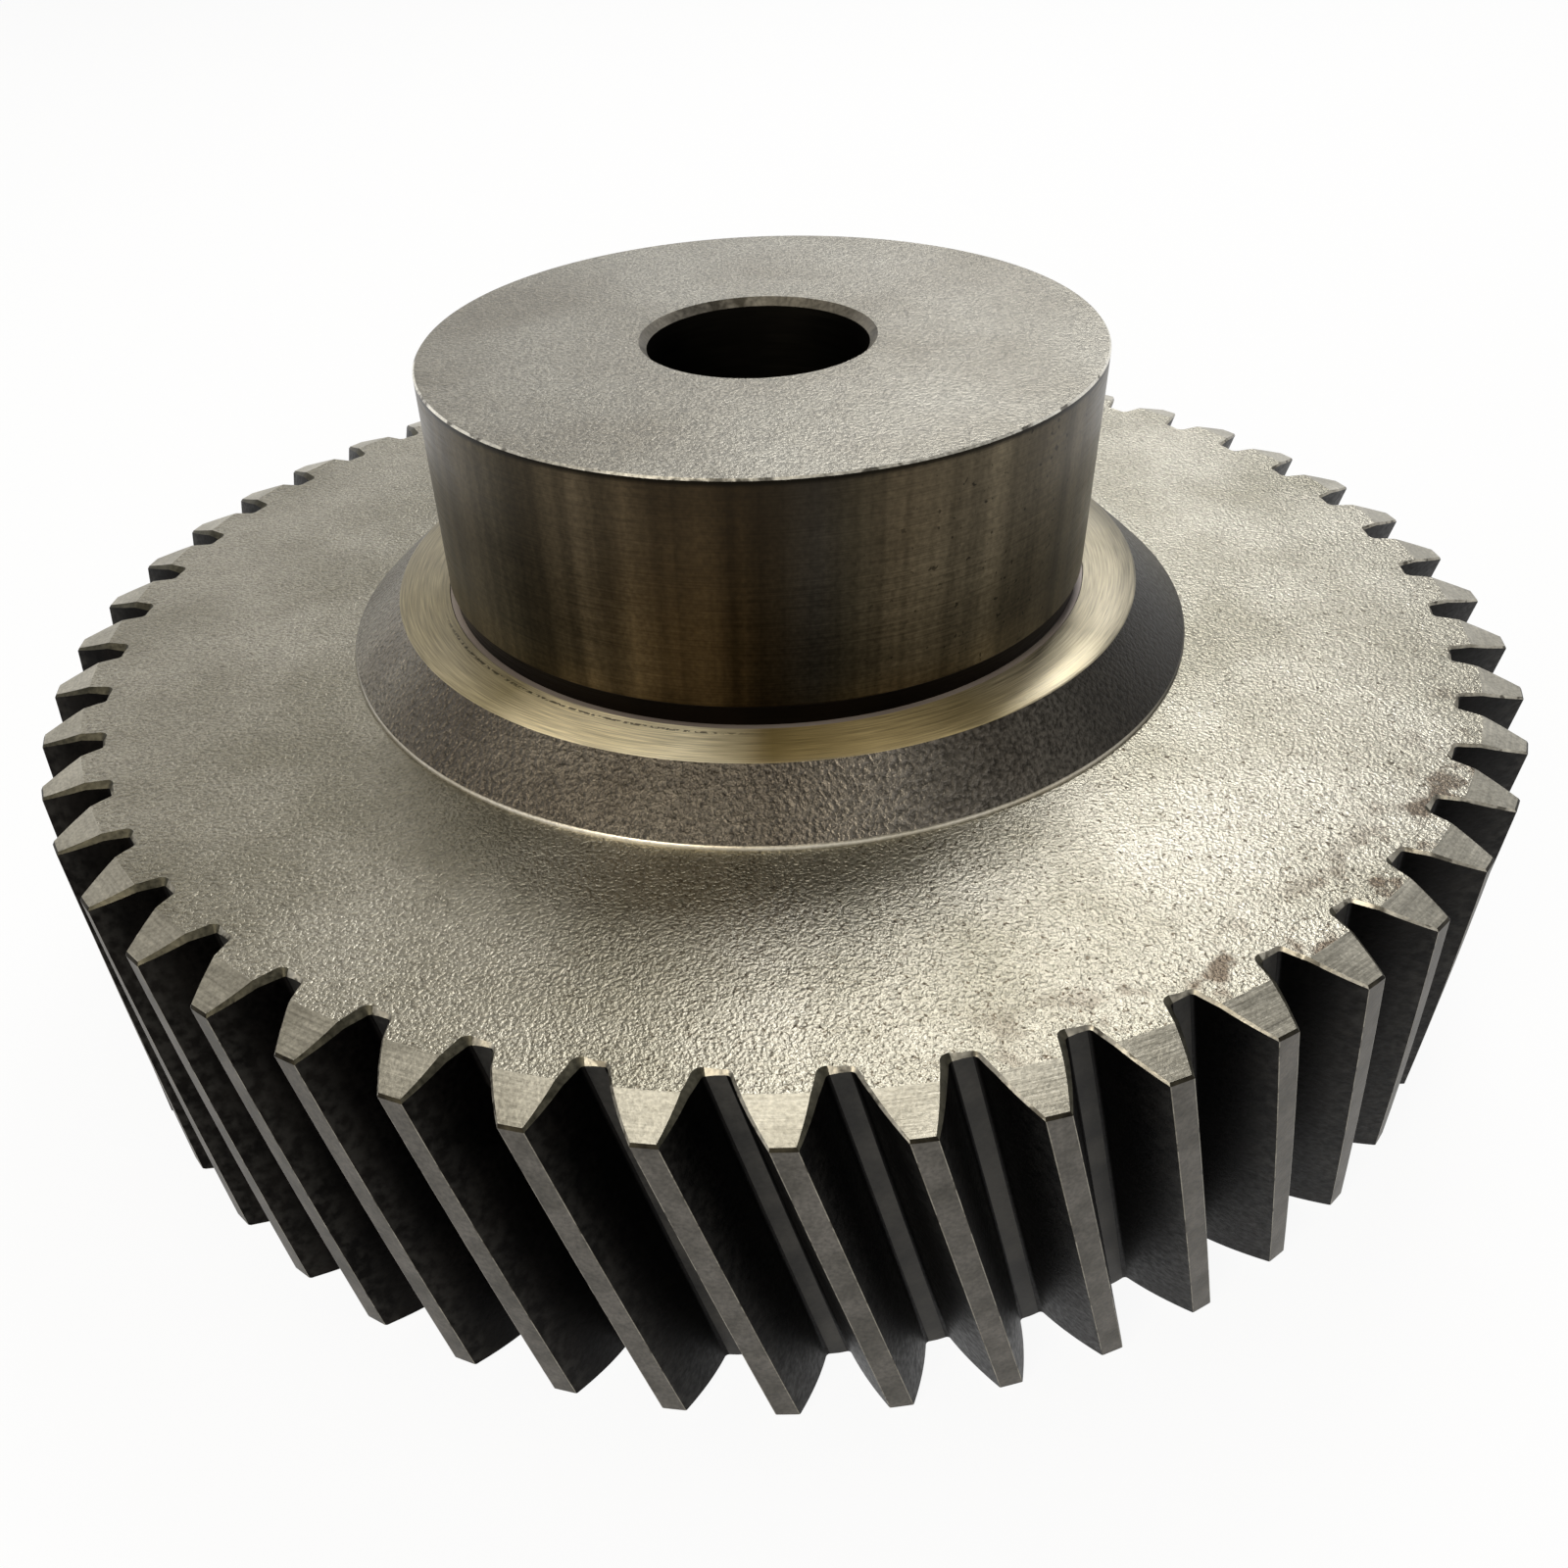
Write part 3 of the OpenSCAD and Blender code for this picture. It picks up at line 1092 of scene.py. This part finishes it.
FINISHES: dict[Zone, Steel] = {
    # Shot left fine rounded dents, so the side sparkles softly and has no clear mirror image.
    # It has small dark pits and, by some gaps on the right, rust-brown smears.
    Zone.WEB: Steel(
        "steel_forged_and_shot_blasted", "#878375", "#A29E92", 22.0, (0.3, 0.4),
        grain=0.44, relief=0.17, fleck_tone=0.26,
        blots=(
            Blots("#403629", 0.52, (0.645, 0.695), full=0.95, detail=1.0, offset=7.0,
                  side=Side(-50.0, 0.3, 0.9, away=0.4, there=0.9)),
            Blots("#53483C", 6.0, (0.52, 0.6), full=0.9, detail=4.0, offset=14.0,
                  radii=((90.0, 95.0),), side=Side(-50.0, 0.8, 0.97)),
        ),
    ),
    # The small step draws a thin bright line, partly polish from handling and partly a painted
    # highlight, with painted shade on the right and at the back.
    Zone.FOOT: Steel(
        "steel_polished_step_with_painted_light", "#DAD4C6", "#F2EEE4", 12.0, (0.3, 0.42), grain=0.5, relief=0.03,
        fleck_tone=0.15,
        tones=((0.0, "#8A8A8A"), (0.14, "#E6E2DA"), (0.34, "#D8D4CA"), (0.42, "#5A5854"),
               (0.6, "#5A5854"), (1.0, "#8A8A8A")),
    ),
    # Blasting off the scale left deep dents and a browner tone, with the dents smoothest on the
    # right; the tones round the axis are partly that tone and partly painted shade, darkest on the
    # right.
    Zone.CONE: Steel(
        "steel_forged_blasted_with_painted_shade", "#908B84", "#A5A19A", 14.0, (0.3, 0.46),
        grain=0.62, relief=0.62, fleck_tone=0.4, depth=Side(-15.0, 0.1, 0.75, away=1.0, there=0.2),
        tones=((0.0, "#D8D8D4"), (0.04, "#E8E6E0"), (0.08, "#BEBAB2"), (0.12, "#98928A"),
               (0.2, "#B0AAA0"), (0.245, "#98928A"), (0.285, "#DAD6D0"), (0.33, "#A8A49E"),
               (0.37, "#6A6864"), (0.41, "#4E4C49"), (0.465, "#454340"), (0.53, "#62605C"),
               (0.6, "#74726D"), (1.0, "#D8D8D4")),
    ),
    # A facing cut left fine rings with oil on them; towards the front and left their pale brass
    # tone and matt film are partly that oil and partly a painted highlight, and the darker tones
    # elsewhere are partly painted shade.
    # A scratched line runs near its inner edge on the left.
    Zone.RING: Steel(
        "steel_faced_on_a_lathe", "#E6E0D0", "#F2EDE2", 16.0, (0.36, 0.5),
        feed=0.2, around=8.0, relief=0.014, line_tone=0.34, anisotropic=0.3,
        bare=Side(-103.0, 0.5, 0.95, away=1.0, there=0.05),
        blots=(
            Blots("#241C10", 0.7, (0.46, 0.52), full=0.85, detail=2.0, offset=3.0,
                  radii=((47.2, 47.4), (47.8, 47.6)), side=Side(-128.0, 0.8, 0.9)),
        ),
        tones=((0.0, "#A29E90"), (0.09, "#B6B09C"), (0.125, "#AEA68A"), (0.155, "#FFF6DC"),
               (0.21, "#FFFAE6"), (0.244, "#82744E"), (0.285, "#B4A680"), (0.33, "#A09678"),
               (0.37, "#DCD6C4"), (0.41, "#9A968A"), (0.6, "#807E76"), (1.0, "#A29E90")),
    ),
    # The narrow relief has a dull grey-pink colour and a half-matt film, a painted highlight that
    # shows it as a pale line beside the dark groove.
    Zone.RELIEF: Steel(
        "steel_turned_relief_painted_highlight", "#90857F", "#A59A93", 20.0, (0.4, 0.5),
        feed=0.2, around=2.0, relief=0.004, line_tone=0.1, bare=0.3,
    ),
    # The groove's near-black colour is painted shade.
    Zone.GROOVE: Steel(
        "steel_turned_groove_painted_shade", "#16120D", "#221C14", 20.0, (0.4, 0.55),
        feed=0.2, around=2.0, relief=0.004, line_tone=0.1,
    ),
    # Grinding lines run round the wall; its upright brown and blue-grey bands and its tones round
    # the axis are partly handling stains and partly painted reflections.
    Zone.JOURNAL: GroundJournal(
        "steel_ground_journal", "#5C5548", "#6F685A", 18.0, (0.28, 0.4),
        grain=0.6, fleck_tone=0.22,
        feed=0.2, around=5.0, relief=0.006, line_tone=0.24, anisotropic=0.3,
        tones=((0.0, "#FFFFFF"), (0.07, "#EAE6DA"), (0.105, "#F0EBDC"), (0.124, "#C8C2B0"),
               (0.136, "#A09886"), (0.168, "#CCC0AE"), (0.203, "#9E8E76"), (0.236, "#7C6C54"),
               (0.25, "#7C7264"), (0.265, "#8E8E92"), (0.28, "#A8A498"), (0.3, "#FAF0DE"),
               (0.336, "#FFFAEE"), (0.4, "#E4E0D4"), (1.0, "#FFFFFF")),
        blots=(
            Blots("#14120E", 0.8, (0.7, 0.74), full=0.7, detail=1.0, offset=9.0,
                  side=Side(-35.0, 0.6, 0.9)),
        ),
    ),
    # The broken edge is bare metal with small nicks, a bright ragged line under the hub top.
    Zone.RIM: Steel(
        "steel_broken_edge", "#E0DCD0", "#F8F4EA", 6.0, (0.3, 0.45), grain=0.5, relief=0.02,
        fleck_tone=0.2, blots=nicks(3.0),
    ),
    # Grinding left a fine even speckle, so the top is pale grey and mirrors nothing clearly.
    Zone.TOP: Steel(
        "steel_ground_face", "#7E7A70", "#8E8B82", 22.0, (0.36, 0.46),
        grain=0.42, relief=0.12, fleck_tone=0.34,
    ),
    # The bored wall's dark colour is painted shade inside the hub, and it looks nearly black at the
    # camera's angle.
    Zone.BORE: Steel(
        "steel_bored_hole", "#1E1C18", "#2C2923", 20.0, (0.4, 0.5),
        feed=0.2, around=2.0, relief=0.004, line_tone=0.1,
    ),
    # The turned cones catch the light from above as cream patches with faint short tool marks.
    Zone.END_CONE: Steel(
        "steel_turned_tooth_ends", "#A29E92", "#B8B4A8", 7.0, (0.38, 0.48),
        grain=0.45, fleck_tone=0.2,
        feed=0.24, around=13.0, relief=0.035, line_tone=0.14,
    ),
    # A brush wheel wore the blunt edges into wide dull grey bevels.
    Zone.BLUNT_BEVEL: Steel(
        "steel_brushed_wide_bevel", "#3F3D34", "#575448", 4.0, (0.4, 0.55),
        grain=0.6, relief=0.05, fleck_tone=0.3,
    ),
    # The same wheel left the sharp edges narrower and brighter.
    Zone.SHARP_BEVEL: Steel(
        "steel_brushed_narrow_bevel", "#8C877B", "#B4AFA2", 3.0, (0.35, 0.5),
        grain=0.6, relief=0.05, fleck_tone=0.3, blots=nicks(2.0),
    ),
    # The small chamfer's dark colour is painted shade, and it parts the end of a tooth from its tip
    # with a dark line.
    Zone.TIP_CHAMFER: Steel(
        "steel_tip_chamfer_painted_shade", "#1E1B16", "#3A362C", 2.0, (0.5, 0.6),
        grain=0.5, relief=0.02, fleck_tone=0.2,
    ),
    # The tips keep the turned skin of the blank under thin grey-brown oxide.
    Zone.TIP: Steel(
        "steel_turned_tips_with_oxide", "#514E48", "#64605A", 4.0, (0.45, 0.58),
        grain=0.5, relief=0.03, fleck_tone=0.3,
    ),
    # The small rounded edges of the tips are paler, a painted highlight, so they show as thin pale
    # lines.
    Zone.TIP_EDGE: Steel(
        "steel_tip_edges_painted_highlight", "#6E695E", "#8E897D", 3.0, (0.35, 0.5),
        grain=0.5, relief=0.01, fleck_tone=0.3, blots=nicks(2.0),
    ),
    # Black hobbing oil and oxide darken the flanks, and their near-black colour is also painted
    # shade deep in the gaps, with grey scratches near the tips.
    Zone.FLANK: Steel(
        "steel_hobbed_blackened_and_painted_shade", "#0B0A09", "#151311", 7.0, (0.42, 0.58),
        grain=0.7, relief=0.03, fleck_tone=0.3,
        blots=(
            Blots("#3C3A36", 1.4, (0.4, 0.62), full=0.45, detail=4.0, offset=17.0, between=0.05,
                  radii=((101.8, 105.4),)),
        ),
    ),
    # The hob cut the root land clean, so it shows as a grey band between black flanks.
    Zone.ROOT: Steel(
        "steel_hobbed_root", "#3A3937", "#484642", 6.0, (0.5, 0.6),
        grain=0.7, relief=0.02, fleck_tone=0.2,
    ),
    # The chamfer of the bore is half bare and half stained, with dark nicks.
    Zone.MOUTH: Steel(
        "steel_chamfered_bore_mouth", "#5C5850", "#7C776D", 5.0, (0.4, 0.52),
        grain=0.6, relief=0.03, fleck_tone=0.25, blots=nicks(5.0),
    ),
}


@dataclass(frozen=True)
class Lamp:
    """A soft rectangular lamp that looks at the gear.

    Attributes:
        name: Name of the lamp.
        azimuth: Its direction from +X, in degrees.
        elevation: Its height above the horizon, in degrees.
        distance: Its distance in metres.
        size: Its width and height in metres.
        watts: Its power.
        colour: Its colour as sRGB hex.
    """

    name: str
    azimuth: float
    elevation: float
    distance: float
    size: tuple[float, float]
    watts: float
    colour: str = "#FFFFFF"

    def hang(self, aim: Vector) -> None:
        """Adds the lamp to the scene.

        Args:
            aim: Point that it looks at, in metres.
        """
        light = bpy.data.lights.new(self.name, "AREA")
        light.shape = "RECTANGLE"
        light.size, light.size_y = self.size
        light.energy = self.watts
        light.color = linear(self.colour)[:3]
        lamp = bpy.data.objects.new(self.name, light)
        turn, lift = math.radians(self.azimuth), math.radians(self.elevation)
        way = Vector(
            (math.cos(turn) * math.cos(lift), math.sin(turn) * math.cos(lift), math.sin(lift))
        )
        lamp.location = aim + way * self.distance
        lamp.rotation_mode = "QUATERNION"
        lamp.rotation_quaternion = way.to_track_quat("Z", "Y")
        bpy.context.scene.collection.objects.link(lamp)


@dataclass(frozen=True)
class Studio:
    """Pale floor and backdrop, plain light and the camera at the photograph's viewing angle.

    The floor and the light are in metres, and the camera is in pixels, millimetres and degrees.
    """

    sky: float = 0.18
    glow: float = 0.93
    floor_r: float = 3.0
    bend_r: float = 1.0
    wall_top: float = 2.4
    bend_steps: int = 12
    sides: int = 96
    aim_height: float = 0.04
    lamps: tuple[Lamp, ...] = (
        Lamp("back_right_softbox", 71.0, 50.0, 1.3, (0.46, 0.42), 7.7),
        Lamp("back_left_panel", 125.0, 36.0, 1.4, (1.3, 1.0), 0.6, "#FFEBC4"),
        Lamp("overhead_panel", 100.0, 84.0, 1.2, (0.6, 0.5), 3.6, "#FFFAEE"),
        Lamp("front_left_softbox", -124.0, 38.0, 1.3, (0.42, 0.4), 7.2, "#FFF6E4"),
    )
    image_side: float = 1600.0
    focal_px: float = 1417.741
    centre_px: tuple[float, float] = (726.126, 923.312)
    camera_mm: tuple[float, float, float] = (0.0, -190.850, 154.793)
    pan: float = -3.2202
    tilt: float = -40.581
    roll: float = -3.4381
    part_turn: float = 2.1862
    sensor_mm: float = 36.0
    nearest: float = 0.005

    def build(self) -> None:
        """Sets up the world, the floor, the lamps and the camera."""
        world = bpy.data.worlds.new("plain_sky")
        world.use_nodes = True
        background = world.node_tree.nodes["Background"].inputs
        background["Color"].default_value = linear("#FFFDF6")
        background["Strength"].default_value = self.sky
        bpy.context.scene.world = world
        bpy.context.scene.view_settings.view_transform = "Standard"
        self.lay_floor()
        for lamp in self.lamps:
            lamp.hang(Vector((0.0, 0.0, self.aim_height)))
        self.aim_camera()

    def backdrop(self) -> bpy.types.Mesh:
        """Makes a round floor that bends up into a wall, so that no horizon shows.

        Returns:
            The mesh, in metres.
        """
        swings = [math.pi / 2 * step / self.bend_steps for step in range(self.bend_steps + 1)]
        profile = [
            (self.floor_r + self.bend_r * math.sin(a), self.bend_r * (1 - math.cos(a)))
            for a in swings
        ]
        profile.append((self.floor_r + self.bend_r, self.wall_top))
        count = self.sides
        turns = [2 * math.pi * side / count for side in range(count)]
        corners = [(r * math.cos(a), r * math.sin(a), z) for r, z in profile for a in turns]
        faces = [tuple(range(count))]
        for ring in range(len(profile) - 1):
            for side in range(count):
                here, there = ring * count + side, ring * count + (side + 1) % count
                faces.append((here, there, there + count, here + count))
        mesh = bpy.data.meshes.new("floor")
        mesh.from_pydata(corners, [], faces)
        return mesh

    def lay_floor(self) -> None:
        """Lays a floor that the camera and the steel see nearly white, with its shadow."""
        mesh = self.backdrop()
        # Matt paper takes the soft shadow, and its glow keeps the ground white to the edges.
        material = bpy.data.materials.new("paper_white_matt")
        material.use_nodes = True
        tree = material.node_tree
        tree.nodes.clear()
        matt = wire(tree, Kind.DIFFUSE, {"Color": linear("#F2F2F2")})
        glow = wire(tree, Kind.GLOW, {"Color": (1.0, 1.0, 1.0, 1.0), "Strength": 1.0})
        seen = wire(tree, Kind.RAY, output="Is Camera Ray")
        for name in ("Is Glossy Ray", "Is Transmission Ray"):
            ray = wire(tree, Kind.RAY, output=name)
            seen = wire(tree, Kind.MATH, {0: seen, 1: ray}, operation="MAXIMUM")
        share = wire(tree, Kind.MATH, {0: seen, 1: self.glow}, operation="MULTIPLY")
        surface = wire(tree, Kind.BLEND, {0: share, 1: matt, 2: glow})
        wire(tree, Kind.OUTPUT, {"Surface": surface})
        mesh.materials.append(material)
        floor = bpy.data.objects.new("floor", mesh)
        bpy.context.scene.collection.objects.link(floor)

    def aim_camera(self) -> None:
        """Places the camera as it was fitted to the photograph."""
        pan, tilt, roll = (math.radians(a) for a in (self.pan, self.tilt, self.roll))
        forward = Vector(
            (math.sin(pan) * math.cos(tilt), math.cos(pan) * math.cos(tilt), math.sin(tilt))
        )
        level = Vector((math.cos(pan), -math.sin(pan), 0.0))
        above = level.cross(forward)
        right = level * math.cos(roll) + above * math.sin(roll)
        up = above * math.cos(roll) - level * math.sin(roll)
        turned = Matrix.Rotation(-math.radians(self.part_turn), 3, "Z")
        axes = Matrix((right, up, -forward)).transposed()
        lens = bpy.data.cameras.new("camera")
        lens.sensor_width = self.sensor_mm
        lens.lens = self.focal_px / self.image_side * self.sensor_mm
        middle = self.image_side / 2
        lens.shift_x = (middle - self.centre_px[0]) / self.image_side
        lens.shift_y = (self.centre_px[1] - middle) / self.image_side
        lens.clip_start = self.nearest
        camera = bpy.data.objects.new("camera", lens)
        camera.matrix_world = Matrix.LocRotScale(
            turned @ (Vector(self.camera_mm) * MM), (turned @ axes).to_quaternion(), None
        )
        bpy.context.scene.collection.objects.link(camera)
        bpy.context.scene.camera = camera


@dataclass
class HelicalGear:
    """The whole gear as one closed piece that stands for the CAD node."""

    sizes: GearSizes = field(default_factory=GearSizes)
    node: str = "helical_gear"
    steel_slot: str = "gear_steel"

    def build(self) -> bpy.types.Object:
        """Builds and dresses the gear.

        Returns:
            The gear, riding on the body and standing for the CAD node.
        """
        book = MeshBook()
        under, over = ToothedRim(self.sizes, ToothForm(self.sizes), book).build()
        LOG.info("toothed rim: %d faces", len(book.faces))
        TurnedBody(self.sizes, book).build(under, over)
        LOG.info("whole gear: %d faces", len(book.faces))
        piece = book.write("gear", [FINISHES[zone].make() for zone in Zone])
        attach(piece, "root")
        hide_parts(self.node)
        return piece


def main() -> None:
    """Builds the gear, dresses it and sets the scene."""
    logging.basicConfig(level=logging.INFO, format="%(name)s: %(message)s")
    HelicalGear().build()
    Studio().build()
    LOG.info("studio: floor, lamps and camera")


if __name__ == "__main__":
    main()
